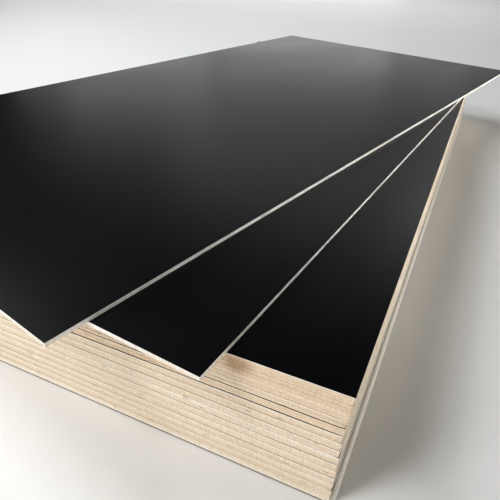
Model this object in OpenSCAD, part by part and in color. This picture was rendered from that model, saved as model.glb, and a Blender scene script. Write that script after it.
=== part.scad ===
// A pile of film-faced plywood sheets: an aligned stack lying flat on the floor, with two
// more sheets fanned out on top of it. Every sheet is one plain, square-edged board. The
// uppermost is one stock size larger than the others, and covers their far corners.
//
// Frame: millimetres, +Z up, +Y along the sheets' length, the open front of the pile at -Y.
// The origin is on the floor, under the centre of the aligned stack.

/* [Sheet] */
// Width of a sheet, all but the uppermost
sheet_w = 1200; // [900:5:1525]
// Length of a sheet, all but the uppermost
sheet_l = 2400; // [1800:5:3050]
// Thickness of every sheet
sheet_t = 8.6; // [4:0.1:30]

/* [Aligned stack] */
// Number of sheets in the aligned stack
stack_count = 30; // [4:1:50]
// Most that a sheet lies out of line, to each side and to the front and back
scatter = 0.8; // [0:0.1:5]
// Most that a sheet is turned out of line, in degrees
scatter_turn = 0.03; // [0:0.01:0.3]
// How far the body of the stack sits in from the right edge of its top sheet
set_in = 5.6; // [0:0.1:20]
// Number of sheets under the top one over which the stack steps back out to it
step_count = 10; // [1:1:20]
// How far the bottom sheet sticks out to the right of the sheets on it
bottom_out = 7.2; // [0:0.1:20]

/* [Lower fanned sheet] */
// Turn of the lower fanned sheet, clockwise from above, in degrees
lower_turn = 6.4; // [0:0.1:10]
// How far its front right corner lies in from the stack's right edge
lower_in = 209; // [0:1:300]
// How far its front right corner stands out past the stack's front
lower_out = 69; // [0:1:150]

/* [Upper fanned sheet] */
// Width of the upper fanned sheet
upper_w = 1250; // [900:5:1525]
// Length of the upper fanned sheet
upper_l = 2500; // [1800:5:3050]
// Turn of the upper fanned sheet, clockwise from above, in degrees
upper_turn = 13.5; // [0:0.1:20]
// How far its front right corner lies in from the stack's right edge
upper_in = 443; // [0:1:500]
// How far its front right corner stands out past the stack's front
upper_out = 120; // [0:1:200]

/* [Hidden] */
birch = "#dcc6a2";
black_film = "#1a1b1d";

right_x = sheet_w / 2;
front_y = -sheet_l / 2;

// The scatter is the same each time: one value for each sheet, in each of three ways
scatter_seed = 7;
scatter_x = rands(-scatter, scatter, stack_count, scatter_seed);
scatter_y = rands(-scatter, scatter, stack_count, scatter_seed + 1);
scatter_a = rands(-scatter_turn, scatter_turn, stack_count, scatter_seed + 2);

function two_digits(n) = str(n < 10 ? "0" : "", n);
function seat_z(n) = (n - 1) * sheet_t;

// From 0 at the top sheet to 1 where the stack is fully set in, eased at both ends
function step_share(n) = (1 - cos(180 * min(1, (stack_count - n) / step_count))) / 2;
function set_in_x(n) = n == 1 ? bottom_out - set_in : -set_in * step_share(n);

STACKED = [for (n = [1 : stack_count]) str("sheet_", two_digits(n))];

// One sheet, with its front right bottom corner at corner, turned about that corner
module sheet(corner, turn, size = [sheet_w, sheet_l]) {
    translate(corner)
        linear_extrude(sheet_t)
            rotate(turn)
                translate([-size[0], 0])
                    square(size);
}

// Sheet n of the aligned stack, counted up from 1 on the floor
module stacked_sheet(n) {
    top = n == stack_count;
    x = right_x + set_in_x(n) + (top ? 0 : scatter_x[n - 1]);
    y = front_y + (top ? 0 : scatter_y[n - 1]);
    color(top ? black_film : birch)
        sheet([x, y, seat_z(n)], top ? 0 : scatter_a[n - 1]);
}

module fanned_sheet_lower() {
    corner = [right_x - lower_in, front_y - lower_out, seat_z(stack_count + 1)];
    color(black_film)
        sheet(corner, -lower_turn);
}

module fanned_sheet_upper() {
    corner = [right_x - upper_in, front_y - upper_out, seat_z(stack_count + 2)];
    color(black_film)
        sheet(corner, -upper_turn, [upper_w, upper_l]);
}

for (n = [1 : stack_count])
    stacked_sheet(n);
fanned_sheet_lower();
fanned_sheet_upper();
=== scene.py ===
import math
import random

import bmesh
import bpy
from mathutils import Matrix, Vector, noise


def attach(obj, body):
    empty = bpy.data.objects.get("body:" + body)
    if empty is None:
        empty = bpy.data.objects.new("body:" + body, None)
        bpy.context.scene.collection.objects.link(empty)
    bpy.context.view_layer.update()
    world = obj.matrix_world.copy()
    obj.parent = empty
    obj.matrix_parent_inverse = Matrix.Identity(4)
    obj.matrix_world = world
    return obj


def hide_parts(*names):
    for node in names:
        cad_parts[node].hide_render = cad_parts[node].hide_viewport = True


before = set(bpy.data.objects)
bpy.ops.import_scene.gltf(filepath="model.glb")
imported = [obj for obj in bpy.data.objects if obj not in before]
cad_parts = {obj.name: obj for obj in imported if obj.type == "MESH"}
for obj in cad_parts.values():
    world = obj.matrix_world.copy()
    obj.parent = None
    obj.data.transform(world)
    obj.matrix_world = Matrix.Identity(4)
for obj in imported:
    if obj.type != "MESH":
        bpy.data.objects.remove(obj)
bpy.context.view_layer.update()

# A pile of film-faced plywood: an aligned stack on the floor and two sheets fanned out on it.
# Each sheet is a board of glued veneers with a black film on one face. In the aligned stack
# the sheets lie film to film and back to back in turn, and the top one shows its film.

MM = 0.001
STACKED = sorted(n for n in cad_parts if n.startswith("sheet_"))
FANNED = ["fanned_sheet_lower", "fanned_sheet_upper"]

# ---- The board's make-up, from its bare back up to its film --------------------------------

PLIES = 7
FILM_T = 0.22 * MM
# Half the height of a glue line, and how far it lies in from the sawn edge
GLUE_HALF = 0.07 * MM
GLUE_DEPTH = 0.16 * MM
# How far the back's arris and the film's arris are broken, and how far the film is set back
BACK_ARRIS = 0.30 * MM
FILM_ARRIS = 0.12 * MM
FILM_SET_BACK = 0.02 * MM
# How many faces each side of a board's edge has in a row
EDGE_COLUMNS = 112

# Less than any distance on a board that counts
HAIR = 0.001 * MM

# The finishes, in the order of FINISHES
FILM, END_GRAIN, LONG_GRAIN, GLUE, BACK, VOID_SHADE, FILM_EDGE_AND_FOOT_SHADE = range(7)
# What a flat face's row number says, where an edge face's says its place in the rows
BACK_FACE, FILM_FACE = -1, -2


def edge_rows(thickness):
    """The rings up a board's edge as (height, inset), and what each row between them is."""
    ply = (thickness - FILM_T) / PLIES
    rings = [(0.0, BACK_ARRIS), (BACK_ARRIS, 0.0)]
    rows = [1]
    for k in range(1, PLIES):
        joint = k * ply
        rings += [(joint - GLUE_HALF, 0.0), (joint, GLUE_DEPTH), (joint + GLUE_HALF, 0.0)]
        rows += [k, "glue", "glue"]
    rings += [(thickness - FILM_T, 0.0), (thickness - FILM_ARRIS, FILM_SET_BACK)]
    rings += [(thickness, FILM_ARRIS)]
    rows += [PLIES, "film", "film"]
    return rings, rows


def row_material(row, along_x):
    """The finish of a row, on the edges along x or along y.

    Veneers 1, 3, 5 and 7 have their grain along the sheet's length, the others across it.
    """
    if row == "film":
        return FILM_EDGE_AND_FOOT_SHADE
    if row == "glue":
        return GLUE
    grain_runs_y = row % 2 == 1
    return END_GRAIN if grain_runs_y == along_x else LONG_GRAIN


def faces_along_y(face):
    """Whether a face of the edge belongs to the sheet's front or back."""
    return abs(face.normal.y) > 0.5


def blank_board(thickness):
    """A board one by one, lying back down on the origin, its outline raised ring by ring."""
    rings, rows = edge_rows(thickness)
    bm = bmesh.new()
    bmesh.ops.create_grid(bm, x_segments=EDGE_COLUMNS, y_segments=EDGE_COLUMNS, size=0.5)
    bmesh.ops.dissolve_faces(bm, faces=bm.faces[:], use_verts=False)
    bmesh.ops.reverse_faces(bm, faces=bm.faces[:])
    ring_of = bm.verts.layers.int.new("ring")
    row_of = bm.faces.layers.int.new("row")
    face = next(iter(bm.faces))
    face.material_index = BACK
    face[row_of] = BACK_FACE
    for k in range(1, len(rings)):
        lower = face
        made = bmesh.ops.extrude_face_region(bm, geom=[lower])["geom"]
        # The first face stays as the back, and the others would be walls inside the board
        if k > 1:
            bmesh.ops.delete(bm, geom=[lower], context="FACES_ONLY")
        raised = [g for g in made if isinstance(g, bmesh.types.BMVert)]
        face = next(g for g in made if isinstance(g, bmesh.types.BMFace))
        rise = rings[k][0] - rings[k - 1][0]
        bmesh.ops.translate(bm, vec=(0, 0, rise), verts=raised)
        for v in raised:
            v[ring_of] = k
            for side in v.link_faces:
                if side is not face and all(w[ring_of] >= k - 1 for w in side.verts):
                    side[row_of] = k - 1
    face[row_of] = FILM_FACE
    bmesh.ops.recalc_face_normals(bm, faces=bm.faces[:])
    for f in bm.faces:
        if f[row_of] >= 0:
            f.material_index = row_material(rows[f[row_of]], faces_along_y(f))
        else:
            f.material_index = FILM if f.normal.z > 0 else BACK
    mesh = bpy.data.meshes.new("blank_board")
    bm.to_mesh(mesh)
    bm.free()
    return mesh


# Where the front of the stack's top sheet lies
FRONT_LINE = min(v.co.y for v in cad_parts[STACKED[-1]].data.vertices)
# How much of the sheets' scatter the dressed front edges even out
EVEN_FRONTS = 0.85


def right_reach(node):
    """How far to the right a plain sheet reaches."""
    return max(v.co.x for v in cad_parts[node].data.vertices)


def overreach(node):
    """How far a sheet reaches further right than some sheet above it, but for the bottom one."""
    above = STACKED[STACKED.index(node) + 1:]
    if not above or node == STACKED[0]:
        return 0.0
    return max(0.0, right_reach(node) - min(right_reach(n) for n in above))


def seat(node):
    """Where a sheet's board lies, from the middle of its underside, and the sheet's three sizes."""
    corners = [v.co.copy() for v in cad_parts[node].data.vertices]
    bottom = min(c.z for c in corners)
    top = max(c.z for c in corners)
    front_right = max(corners, key=lambda c: c.x - c.y)
    front_left = max(corners, key=lambda c: -c.x - c.y)
    back_right = max(corners, key=lambda c: c.x + c.y)
    across = (front_right - front_left).to_2d()
    along = (back_right - front_right).to_2d()
    middle = (front_left + back_right) / 2
    if node in STACKED:
        middle.y += EVEN_FRONTS * (FRONT_LINE - (front_left.y + front_right.y) / 2)
        middle.x -= overreach(node)
    place = Matrix.Translation((middle.x, middle.y, bottom))
    place = place @ Matrix.Rotation(math.atan2(across.y, across.x), 4, "Z")
    return place, across.length, along.length, top - bottom


# ---- Looks of one board --------------------------------------------------------------------

# Seams that stand open at the edges, counted down from the stack's top: by how much, in mm
OPEN_SEAMS = {3: 0.6, 6: 0.3, 7: 0.9, 8: 2.2, 10: 2.5, 12: 0.5, 14: 0.5, 18: 0.3, 24: 0.3, 29: 0.9}
# Least width in mm of a seam between two films, between two bare backs, and in the top batch
FILM_SEAM, BARE_SEAM, TOP_SEAM = 0.55, 0.28, 0.10
# How many sheets the tighter, tanner batch on top has
TOP_BATCH = 10
# Most that a board's corners are worn off
CORNER_WEAR = 1.4 * MM


def seam_width(count_from_top):
    """How wide the seam is under a stacked sheet, the top sheet being the first."""
    least = FILM_SEAM if count_from_top % 2 == 0 else BARE_SEAM
    if count_from_top < TOP_BATCH:
        least = TOP_SEAM
    return (OPEN_SEAMS.get(count_from_top, 0.0) + least) * MM


# How far the veneer lines wander, how rough the saw left the edge, and how often each turns
PLY_WANDER, SAW_ROUGHNESS = 0.16 * MM, 0.05 * MM
WANDER_PITCH, SAW_PITCH = 9, 60
# How far the waves shift from one board to the next along x and y, and from line to line
BOARD_SHIFT_X, BOARD_SHIFT_Y = 17.3, 5.1
WANDER_SHIFT, SAW_SHIFT = 0.31, 1.7
# How wide a seam stands open between two rims as a share of its width, and how far that wanders
RIM_BOW, RIM_WAVE = 0.75, 0.5
# How unevenly the corners are worn
WEAR_WAVE = 0.4
# How far the bottom board's upper right edge, which sticks out of the stack, is worn off, and
# how round that is: 1 is a flat bevel, 2 a quarter circle
FOOT_ROUND, FOOT_BULGE = 7.0 * MM, 1.2


def foot_round(height):
    """How far the bottom board's worn edge lies in at a height above its back."""
    share = min(1, max(0, 1 - height / FOOT_ROUND))
    return FOOT_ROUND * (1 - (1 - share ** FOOT_BULGE) ** (1 / FOOT_BULGE))


def wander(x, y, ring, seed):
    """A slow wave along the board's edges, unlike on each board and each veneer line."""
    along_x = x * WANDER_PITCH + seed * BOARD_SHIFT_X
    along_y = y * WANDER_PITCH - seed * BOARD_SHIFT_Y
    return noise.noise(Vector((along_x, along_y, ring * WANDER_SHIFT)))


def saw_tear(x, y, ring, seed):
    """The fine unevenness that the saw left on the edges."""
    return noise.noise(Vector((x * SAW_PITCH, y * SAW_PITCH + seed, ring * SAW_SHIFT)))


def shape_edges(bm, size, rings, seed, lift, dip, wear, at_foot):
    """Gives a blank board its size, wandering veneer lines, sawn edges and worn corners.

    lift and dip are how far its back and its film face stand off from the sheets next to them.
    """
    ring_of = bm.verts.layers.int["ring"]
    width, length, thickness = size
    half_w, half_l = width / 2, length / 2
    last = len(rings) - 1
    for v in bm.verts:
        v.co.x *= width
        v.co.y *= length
        k = v[ring_of]
        x, y = v.co.x, v.co.y
        on_x = half_w - abs(x) < HAIR
        on_y = half_l - abs(y) < HAIR
        wave = wander(x, y, k, seed)
        bow = 1.0 if k in (0, last) else RIM_BOW + RIM_WAVE * wander(x, y, 0, seed)
        v.co.z = lift * bow + v.co.z / thickness * (thickness - (lift + dip) * bow)
        depth = rings[k][1]
        if 1 < k < last - 2:
            v.co.z += PLY_WANDER * wave
            depth += SAW_ROUGHNESS * (1 + saw_tear(x, y, k, seed))
        if on_x and on_y:
            depth += wear * (1 + WEAR_WAVE * wave)
        if on_x:
            worn = foot_round(v.co.z) if at_foot and x < 0 else 0.0
            v.co.x -= math.copysign(depth + worn, x)
        if on_y:
            v.co.y -= math.copysign(depth, y)


def paint_foot_shade(bm, rows):
    """Painted contact shade: the bottom board's two lowest veneers made dark at its front and back.
    """
    row_of = bm.faces.layers.int["row"]
    lowest = rows.index(PLIES - 1)
    for f in bm.faces:
        if f[row_of] >= lowest and faces_along_y(f):
            f.material_index = FILM_EDGE_AND_FOOT_SHADE


# How deep a void in a core veneer goes, and how thick the rim round it is
VOID_DEPTH, VOID_RIM = 7 * MM, 0.12 * MM
# Which share of the faces round a board's core veneers are voids: sheets seen only by their
# edges, and sheets that show their film
CORE_VOIDS, FACE_VOIDS = 0.0025, 0.001


def open_voids(bm, rows, chance, rng):
    """Small gaps where two strips of a core veneer don't meet, cut into the edge as pockets."""
    row_of = bm.faces.layers.int["row"]
    core = [k for k, row in enumerate(rows) if row in range(2, PLIES)]
    # The order of the faces, and so where the gaps come, can differ from run to run
    picked = [f for f in bm.faces if f[row_of] in core and rng.random() < chance]
    if not picked:
        return
    bmesh.ops.inset_individual(bm, faces=picked, thickness=VOID_RIM, depth=0)
    deep = bmesh.ops.extrude_discrete_faces(bm, faces=picked)["faces"]
    for f in deep:
        inward = -Vector((f.normal.x, f.normal.y, 0)).normalized()
        bmesh.ops.translate(bm, vec=inward * VOID_DEPTH, verts=f.verts)
        # The pocket's walls get the painted shade finish
        for wall in {w for v in f.verts for w in v.link_faces}:
            wall.material_index = VOID_SHADE


# The flat layout of a board: the margin round it and between its parts, the height of one edge
# strip on a sheet that shows only its edges and on one that shows its film, and on the latter
# the heights of the film face and of the back
MARGIN = 0.005
EDGE_STRIP, FACE_EDGE_STRIP = 0.21, 0.10
FILM_STRIP, BACK_STRIP = 0.45, 0.12
# The share of an edge strip's height that is left free below and above the edge
STRIP_MARGIN = 0.04


def face_place(across, up, low, shows_face):
    """Where a point of the film face (up) or of the back lies in the flat layout."""
    if shows_face:
        base, strip = (low, FILM_STRIP) if up else (low + FILM_STRIP + 2 * MARGIN, BACK_STRIP)
        return MARGIN + (1 - 2 * MARGIN) * across[1], base + strip * across[0]
    side = 0.0 if up else 0.5
    return side + MARGIN + (0.5 - 2 * MARGIN) * across[0], low + (1 - 2 * MARGIN - low) * across[1]


def edge_place(across, height, normal, strip):
    """Where a point of an edge lies: the front, back, left and right ones have a strip each."""
    if abs(normal.y) > abs(normal.x):
        edge, along = (1 if normal.y > 0 else 0), across[0]
    else:
        edge, along = (3 if normal.x > 0 else 2), across[1]
    share = STRIP_MARGIN + (1 - 2 * STRIP_MARGIN) * min(1, max(0, height))
    return MARGIN + (1 - 2 * MARGIN) * along, strip * (edge + share)


def board_uv(bm, size, shows_face):
    """Lays the board out flat: four edge strips above each other, then its two faces."""
    layer = bm.loops.layers.uv.new("OFBake")
    width, length, thickness = size
    strip = FACE_EDGE_STRIP if shows_face else EDGE_STRIP
    low = 4 * strip + 2 * MARGIN
    for f in bm.faces:
        # The film face and the back have all the corners of a ring, and no other face has many
        is_flat = abs(f.normal.z) > 0.9 and len(f.verts) > 8
        for loop in f.loops:
            x, y, z = loop.vert.co
            across = (x / width + 0.5, y / length + 0.5)
            if is_flat:
                loop[layer].uv = face_place(across, f.normal.z > 0, low, shows_face)
            else:
                loop[layer].uv = edge_place(across, z / thickness, f.normal, strip)


# How far apart two sheets' numbers are in the noise that the finishes read
NUMBER_STEP = 3.7


def board_marks(mesh, number):
    """What the finishes read: the place on the unturned board, and the sheet's own number."""
    place = mesh.attributes.new("board", "FLOAT_VECTOR", "POINT")
    for v, spot in zip(mesh.vertices, place.data):
        spot.vector = v.co
    sheet = mesh.attributes.new("sheet", "FLOAT", "FACE")
    sheet.data.foreach_set("value", [number * NUMBER_STEP] * len(mesh.polygons))


# What a veneer's tone stands for: tan at 0, cream here, and at 1 the palest, mostly painted light
CREAM_TONE = 0.75
# How much paler the veneers are right under a film that faces up, and from where
CREST, CREST_FROM = 0.25, 0.3
# How far a single veneer's tone strays
VENEER_SCATTER = 0.12


def ply_tones(bm, rows, tone, rise, top_highlight, rng):
    """Each veneer's own tone around the sheet's, rising by rise from the back to the film.

    For a sheet that shows its film, the veneer right under the film is painted palest: a painted
    highlight.
    """
    row_of = bm.faces.layers.int["row"]
    layer = bm.faces.layers.float.new("tone")
    own = {}
    for k, row in enumerate(rows):
        towards_film = row / PLIES - 0.5 if isinstance(row, int) else 0.0
        share = tone + rise * towards_film + rng.uniform(-VENEER_SCATTER, VENEER_SCATTER)
        if rise > 0 and towards_film > CREST_FROM:
            share += CREST
        # Painted highlight along the edge right under the film
        if row == PLIES and top_highlight:
            share = 1.0
        own.setdefault(row, min(1, max(0, share)))
    for f in bm.faces:
        k = f[row_of]
        f[layer] = own[rows[k]] if k >= 0 else tone


def make_board(node, number, film_up, seams, tone, rise, shows_face=False, at_foot=False):
    """The finished board for one sheet, in its place and instead of the plain one.

    seams are the widths of the seams under and over it, and tone and rise are its veneers' tone
    and how much paler they get towards the film.
    """
    place, width, length, thickness = seat(node)
    size = (width, length, thickness)
    rings, rows = edge_rows(thickness)
    rng = random.Random(number)
    bm = bmesh.new()
    bm.from_mesh(BLANK)
    under, over = seams if film_up else seams[::-1]
    wear = 0.0 if shows_face else rng.uniform(0.0, CORNER_WEAR)
    shape_edges(bm, size, rings, number, under / 2, over / 2, wear, at_foot)
    # Painted contact shade along the floor at the bottom board's front and back
    if at_foot:
        paint_foot_shade(bm, rows)
    ply_tones(bm, rows, tone, rise, shows_face, rng)
    open_voids(bm, rows, FACE_VOIDS if shows_face else CORE_VOIDS, rng)
    board_uv(bm, size, shows_face)
    mesh = bpy.data.meshes.new(node + "_board")
    bm.to_mesh(mesh)
    bm.free()
    for finish in FINISHES:
        mesh.materials.append(finish)
    board_marks(mesh, number)
    if not film_up:
        over_turned = Matrix.Translation((0, 0, thickness)) @ Matrix.Rotation(math.pi, 4, "Y")
        mesh.transform(over_turned)
    mesh.transform(place)
    board = bpy.data.objects.new(node + "_board", mesh)
    bpy.context.collection.objects.link(board)
    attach(board, "root")
    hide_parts(node)


# ---- Finishes ------------------------------------------------------------------------------


def new_finish(name):
    """A finish with its node tree and its shader."""
    finish = bpy.data.materials.new(name)
    finish.use_nodes = True
    tree = finish.node_tree
    return finish, tree, tree.nodes["Principled BSDF"]


def add(tree, kind, **inputs):
    """A node with its inputs set: a value, or another node's output to link.

    An input is given by its name, or as _0, _1 and so on where only its place tells it apart.
    """
    made = tree.nodes.new("ShaderNode" + kind)
    for name, value in inputs.items():
        socket = made.inputs[int(name[1:])] if name[0] == "_" else made.inputs[name]
        if isinstance(value, bpy.types.NodeSocket):
            tree.links.new(value, socket)
        else:
            socket.default_value = value
    return made


def mark(tree, name, output="Fac"):
    """One of the marks on the board."""
    made = tree.nodes.new("ShaderNodeAttribute")
    made.attribute_name = name
    return made.outputs[output]


def board_noise(tree, scale, detail, roughness):
    """Noise on the unturned board, scaled along x, y and z, and unlike on each sheet."""
    stretched = add(tree, "Mapping", Vector=mark(tree, "board", "Vector"), Scale=scale)
    made = tree.nodes.new("ShaderNodeTexNoise")
    made.noise_dimensions = "4D"
    tree.links.new(stretched.outputs[0], made.inputs["Vector"])
    tree.links.new(mark(tree, "sheet"), made.inputs["W"])
    made.inputs["Scale"].default_value = 1.0
    made.inputs["Detail"].default_value = detail
    made.inputs["Roughness"].default_value = roughness
    return made.outputs["Fac"]


def ramp(tree, factor, *stops):
    """Colours along a factor, each stop as (place, colour)."""
    made = add(tree, "ValToRGB", Fac=factor)
    band = made.color_ramp
    while len(band.elements) < len(stops):
        band.elements.new(0.5)
    for element, (at, colour) in zip(band.elements, stops):
        element.position = at
        element.color = (*colour, 1)
    return made.outputs["Color"]


def mix(tree, how, factor, a, b):
    """Two colours mixed, as a blend mode says."""
    made = tree.nodes.new("ShaderNodeMix")
    made.data_type = "RGBA"
    made.blend_type = how
    for socket, value in zip((made.inputs[0], made.inputs[6], made.inputs[7]), (factor, a, b)):
        if isinstance(value, bpy.types.NodeSocket):
            tree.links.new(value, socket)
        else:
            socket.default_value = value if isinstance(value, float) else (*value, 1)
    return made.outputs[2]


def spread(tree, value, low, high, to_low, to_high):
    """A value spread from one range to another."""
    made = add(tree, "MapRange", Value=value)
    made.inputs["From Min"].default_value = low
    made.inputs["From Max"].default_value = high
    made.inputs["To Min"].default_value = to_low
    made.inputs["To Max"].default_value = to_high
    return made.outputs[0]


def bump(tree, shader, height, distance, strength):
    """Fine relief on a finish."""
    made = add(tree, "Bump", Height=height, Distance=distance, Strength=strength)
    tree.links.new(made.outputs[0], shader.inputs["Normal"])


# A brown painted shadow on the front edges, just right of the lower fanned sheet, where its
# overhang shades them: its middle, and how far it reaches along x, y and z
SHADOW_MIDDLE = (0.418, FRONT_LINE, 0.243)
SHADOW_REACH = (0.034, 0.030, 0.026)


def painted_shadow(tree, unevenness):
    """The painted shadow's colour over the wood's, fading out from its middle."""
    place = add(tree, "Mapping", Vector=add(tree, "TexCoord").outputs["Object"])
    place.vector_type = "TEXTURE"
    place.inputs["Location"].default_value = SHADOW_MIDDLE
    place.inputs["Scale"].default_value = SHADOW_REACH
    shadow_falloff = add(tree, "TexGradient", Vector=place.outputs[0])
    shadow_falloff.gradient_type = "SPHERICAL"
    edge = spread(tree, unevenness, 0.3, 0.7, 0.0, 1.0)
    share = add(tree, "Math", _0=shadow_falloff.outputs["Fac"], _1=spread(tree, edge, 0, 1, 0.7, 1.3))
    share.operation = "MULTIPLY"
    return ramp(tree, share.outputs[0], (0.0, (1, 1, 1)), (0.75, (0.52, 0.42, 0.33)))


# The tan and the cream of end grain and of long grain, and the palest of both, mostly painted light
END_TAN, END_CREAM = (0.68, 0.47, 0.30), (0.93, 0.81, 0.64)
LONG_TAN, LONG_CREAM = (0.75, 0.59, 0.43), (0.95, 0.90, 0.80)
PALEST_LIT = (0.96, 0.95, 0.93)


def sawn_veneer(name, grain_scale, pore_scale, tan, cream):
    """A sawn veneer edge: its grain, its pores and the saw's marks across it."""
    finish, tree, shader = new_finish(name)
    grain = board_noise(tree, grain_scale, 3.0, 0.6)
    pores = board_noise(tree, pore_scale, 2.0, 0.6)
    saw = board_noise(tree, (420, 420, 40), 2.0, 0.5)
    patches = board_noise(tree, (7, 7, 30), 2.0, 0.5)
    wood = ramp(tree, mark(tree, "tone"), (0.0, tan), (CREAM_TONE, cream), (1.0, PALEST_LIT))
    for factor, low, high, shade in (
        (grain, 0.30, 0.62, (0.90, 0.86, 0.80)),
        (pores, 0.32, 0.46, (0.80, 0.73, 0.64)),
        (saw, 0.32, 0.60, (0.85, 0.81, 0.76)),
        (patches, 0.30, 0.60, (0.94, 0.91, 0.87)),
    ):
        veil = ramp(tree, factor, (low, shade), (high, (1, 1, 1)))
        wood = mix(tree, "MULTIPLY", 1.0, wood, veil)
    # Painted shadow of the lower fanned sheet's overhang on the front edges
    wood = mix(tree, "MULTIPLY", 1.0, wood, painted_shadow(tree, patches))
    tree.links.new(wood, shader.inputs["Base Color"])
    tree.links.new(spread(tree, grain, 0.3, 0.7, 0.62, 0.78), shader.inputs["Roughness"])
    shader.inputs["Specular IOR Level"].default_value = 0.3
    bump(tree, shader, mix(tree, "MIX", 0.5, saw, grain), 0.12 * MM, 0.6)
    return finish


def glue_line():
    """Dark glue between two veneers, thinner and paler in places."""
    finish, tree, shader = new_finish("glue_line")
    breaks = board_noise(tree, (55, 55, 900), 2.0, 0.6)
    colour = ramp(tree, breaks, (0.35, (0.22, 0.12, 0.06)), (0.62, (0.50, 0.36, 0.22)))
    tree.links.new(colour, shader.inputs["Base Color"])
    shader.inputs["Roughness"].default_value = 0.6
    shader.inputs["Specular IOR Level"].default_value = 0.3
    return finish


def black_film():
    """Phenolic film: near black, satin, with faint smudges and a very fine texture."""
    finish, tree, shader = new_finish("black_film")
    smudges = board_noise(tree, (3.2, 2.1, 3), 3.0, 0.55)
    fine = board_noise(tree, (900, 900, 900), 2.0, 0.5)
    colour = ramp(tree, smudges, (0.35, (0.0011, 0.0013, 0.0016)), (0.7, (0.0016, 0.0019, 0.0023)))
    tree.links.new(colour, shader.inputs["Base Color"])
    tree.links.new(spread(tree, smudges, 0.3, 0.7, 0.27, 0.32), shader.inputs["Roughness"])
    shader.inputs["Specular IOR Level"].default_value = 0.09
    bump(tree, shader, fine, 0.01 * MM, 0.3)
    return finish


def film_edge_and_foot_shade():
    """The film's sawn edge, browner and duller than its face; also the painted contact shade at the
    foot.
    """
    finish, tree, shader = new_finish("film_edge_and_foot_shade")
    chips = board_noise(tree, (160, 160, 300), 2.0, 0.6)
    colour = ramp(tree, chips, (0.35, (0.030, 0.014, 0.007)), (0.75, (0.105, 0.058, 0.032)))
    tree.links.new(colour, shader.inputs["Base Color"])
    shader.inputs["Roughness"].default_value = 0.8
    shader.inputs["Specular IOR Level"].default_value = 0.03
    return finish


def bare_back():
    """The uncoated back veneer, with long cathedral grain along the sheet."""
    finish, tree, shader = new_finish("bare_back")
    broad = board_noise(tree, (9, 0.9, 9), 3.0, 0.6)
    fine = board_noise(tree, (420, 9, 420), 3.0, 0.6)
    late, middle, early = (0.88, 0.82, 0.72), (0.93, 0.89, 0.82), (0.96, 0.94, 0.89)
    figure = ramp(tree, broad, (0.3, late), (0.5, middle), (0.7, early))
    pores = ramp(tree, fine, (0.35, (0.82, 0.76, 0.68)), (0.6, (1, 1, 1)))
    wood = mix(tree, "MULTIPLY", 1.0, figure, pores)
    tree.links.new(wood, shader.inputs["Base Color"])
    tree.links.new(spread(tree, fine, 0.3, 0.7, 0.55, 0.70), shader.inputs["Roughness"])
    shader.inputs["Specular IOR Level"].default_value = 0.35
    bump(tree, shader, fine, 0.08 * MM, 0.5)
    return finish


def void_shadow():
    """Painted shade for the inside of a core void, dark where little light gets in."""
    finish, tree, shader = new_finish("core_void_shade")
    mottle = board_noise(tree, (200, 200, 900), 2.0, 0.5)
    colour = ramp(tree, mottle, (0.3, (0.05, 0.03, 0.02)), (0.7, (0.11, 0.07, 0.04)))
    tree.links.new(colour, shader.inputs["Base Color"])
    shader.inputs["Roughness"].default_value = 0.9
    return finish


# End grain is as fine every way, and long grain is drawn out along the edge
FINISHES = [
    black_film(),
    sawn_veneer("end_grain_veneer", (700, 700, 700), (1500, 1500, 1500), END_TAN, END_CREAM),
    sawn_veneer("long_grain_veneer", (14, 14, 1500), (60, 60, 2600), LONG_TAN, LONG_CREAM),
    glue_line(),
    bare_back(),
    void_shadow(),
    film_edge_and_foot_shade(),
]

# ---- The pile ------------------------------------------------------------------------------

THICKNESS = seat(STACKED[-1])[3]
BLANK = blank_board(THICKNESS)

# The edges of each pair of sheets, film up over film down, darken from the top of the pair to
# its bottom: by this much, and less in the batch on top. The pairs' own tones follow.
PAIR_FALL, TOP_FALL = 0.42, 0.10
PAIR_TONE, TOP_TONE = 0.50, 0.30
# How far a single sheet's tone strays
SHEET_SCATTER = 0.06
TONE_SEED = 40
# Painted light: the bottom sheet's edges are painted pale all through, the fanned sheets' palest
FOOT_LIT_TONE = 0.85
FANNED_LIT_TONE, FANNED_RISE = 1.0, 0.1


def sheet_tone(index, from_top, film_up):
    """A stacked sheet's tone, and how much paler its veneers get towards its film."""
    # The bottom sheet's pale tone is painted light
    if index == 0:
        return FOOT_LIT_TONE, 0.0
    fall, tone = (TOP_FALL, TOP_TONE) if from_top <= TOP_BATCH else (PAIR_FALL, PAIR_TONE)
    tone += random.Random(TONE_SEED + index).uniform(-SHEET_SCATTER, SHEET_SCATTER)
    if film_up:
        return tone + fall / 4, fall / 2
    return tone - fall / 4, -fall / 2


def stack_boards():
    """The aligned stack, counted up from the floor, in which every other sheet has its film up."""
    for index, node in enumerate(STACKED):
        from_top = len(STACKED) - index
        film_up = from_top % 2 == 1
        below = seam_width(from_top) if index else 0.0
        above = 0.0 if from_top == 1 else seam_width(from_top - 1)
        tone, rise = sheet_tone(index, from_top, film_up)
        make_board(node, index + 1, film_up, (below, above), tone, rise, from_top == 1, index == 0)


def fan_boards():
    """The two fanned sheets, film up, one straight on the other."""
    for index, node in enumerate(FANNED):
        number = len(STACKED) + index + 1
        # The fanned sheets' palest tone is painted light
        make_board(node, number, True, (0.0, 0.0), FANNED_LIT_TONE, FANNED_RISE, True)


stack_boards()
fan_boards()
bpy.data.meshes.remove(BLANK)

# ---- Floor, light and camera ---------------------------------------------------------------


# How far the floor reaches from the pile, and how far it lies below the pile's foot
FLOOR_REACH, FLOOR_DROP = 30, 0.2 * MM


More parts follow.
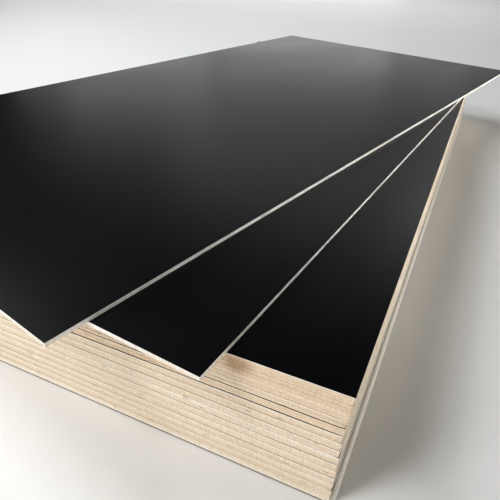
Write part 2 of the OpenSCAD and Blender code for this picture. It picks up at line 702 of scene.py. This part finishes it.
def pale_floor():
    """A wide, pale floor with a faint mottle."""
    finish, tree, shader = new_finish("pale_floor")
    place = add(tree, "TexCoord").outputs["Object"]
    cloud = add(tree, "TexNoise", Vector=place, Scale=0.8).outputs["Fac"]
    colour = ramp(tree, cloud, (0.3, (0.80, 0.80, 0.79)), (0.7, (0.82, 0.82, 0.81)))
    tree.links.new(colour, shader.inputs["Base Color"])
    shader.inputs["Roughness"].default_value = 0.55
    shader.inputs["Specular IOR Level"].default_value = 0.25
    mesh = bpy.data.meshes.new("floor")
    bm = bmesh.new()
    bmesh.ops.create_grid(bm, x_segments=1, y_segments=1, size=FLOOR_REACH)
    bmesh.ops.translate(bm, vec=(0, 0, -FLOOR_DROP), verts=bm.verts)
    bm.to_mesh(mesh)
    bm.free()
    mesh.materials.append(finish)
    floor = bpy.data.objects.new("floor", mesh)
    bpy.context.collection.objects.link(floor)


def softbox(name, place, aim, size, watts, colour, fan=180):
    """A rectangular lamp in one place, turned to another, whose light fans out by fan degrees."""
    lamp = bpy.data.lights.new(name, "AREA")
    lamp.shape = "RECTANGLE"
    lamp.size, lamp.size_y = size
    lamp.energy = watts
    lamp.color = colour
    lamp.spread = math.radians(fan)
    box = bpy.data.objects.new(name, lamp)
    box.location = place
    box.rotation_euler = (Vector(aim) - Vector(place)).to_track_quat("-Z", "Y").to_euler()
    box.visible_camera = False
    bpy.context.collection.objects.link(box)


def camera():
    """Three-quarter view from the front right, looking down on the fanned corner."""
    azimuth, elevation, roll = math.radians(23.31), math.radians(32.25), math.radians(2.4)
    data = bpy.data.cameras.new("camera")
    data.sensor_width = 36
    data.lens = 36.3
    data.clip_start, data.clip_end = 0.05, 100
    view = bpy.data.objects.new("camera", data)
    view.location = (0.6491, -1.7075, 0.8009)
    turn = Matrix.Rotation(azimuth, 4, "Z") @ Matrix.Rotation(math.pi / 2 - elevation, 4, "X")
    turn = turn @ Matrix.Rotation(roll, 4, "Z")
    view.rotation_euler = turn.to_euler()
    bpy.context.collection.objects.link(view)
    bpy.context.scene.camera = view


# The colours of the light
NEUTRAL = (0.97, 0.985, 1.0)
FILL = (1.0, 0.98, 0.94)
COOL = (0.92, 0.97, 1.0)


def studio_lights():
    """Soft lamps: from the left, front and right for the edges, from the back for the films."""
    softbox("key", (-2.2, -4.4, 3.2), (0, -0.5, 0), (1.6, 1.6), 64, NEUTRAL)
    softbox("key_high", (-2.0, -3.6, 5.0), (0, -0.5, 0), (1.6, 1.6), 152, NEUTRAL)
    softbox("left", (-4.0, 0.0, 5.0), (-0.3, 0, 0), (2.5, 2.5), 255, NEUTRAL)
    softbox("front_low", (-1.0, -6.5, 0.6), (0, -1.2, 0.1), (4.0, 1.0), 145, NEUTRAL)
    softbox("back_low", (-3.2, 7.0, 0.9), (-0.5, 0, 0.2), (9.0, 1.5), 40, NEUTRAL)
    softbox("back_low_left", (-4.2, 7.0, 0.9), (-0.5, 0, 0.2), (7.0, 1.5), 36, NEUTRAL)
    softbox("back_low_middle", (-1.6, 7.0, 1.2), (-0.5, 0, 0.2), (4.0, 1.2), 6, NEUTRAL)
    softbox("back_glow", (-5.0, 6.0, 2.1), (-0.5, 0.5, 0.27), (2.6, 1.4), 8, NEUTRAL)
    softbox("right_low", (4.6, 0.4, 0.35), (0.6, 0.4, 0.1), (4.2, 0.6), 73, COOL)
    softbox("right_foot", (3.6, 0.4, 0.13), (0.6, 0.4, 0.13), (4.5, 0.22), 36, COOL)
    softbox("fan_edges", (1.7, 0.5, 0.52), (0.2, 0.3, 0.27), (2.4, 0.15), 2.1, COOL, 36)
    softbox("far_floor", (-1.9, 6.0, 3.5), (-2.0, 5.0, 0), (5.0, 2.0), 31, NEUTRAL)
    softbox("far_right", (1.5, 6.0, 3.5), (1.0, 5.0, 0), (3.0, 2.0), 37, NEUTRAL)


def studio_air():
    """A faint even light from all round."""
    world = bpy.data.worlds.new("studio")
    world.use_nodes = True
    background = world.node_tree.nodes["Background"]
    background.inputs["Color"].default_value = (*FILL, 1)
    background.inputs["Strength"].default_value = 0.03
    bpy.context.scene.world = world


pale_floor()
studio_lights()
camera()
studio_air()
bpy.context.scene.view_settings.view_transform = "Standard"
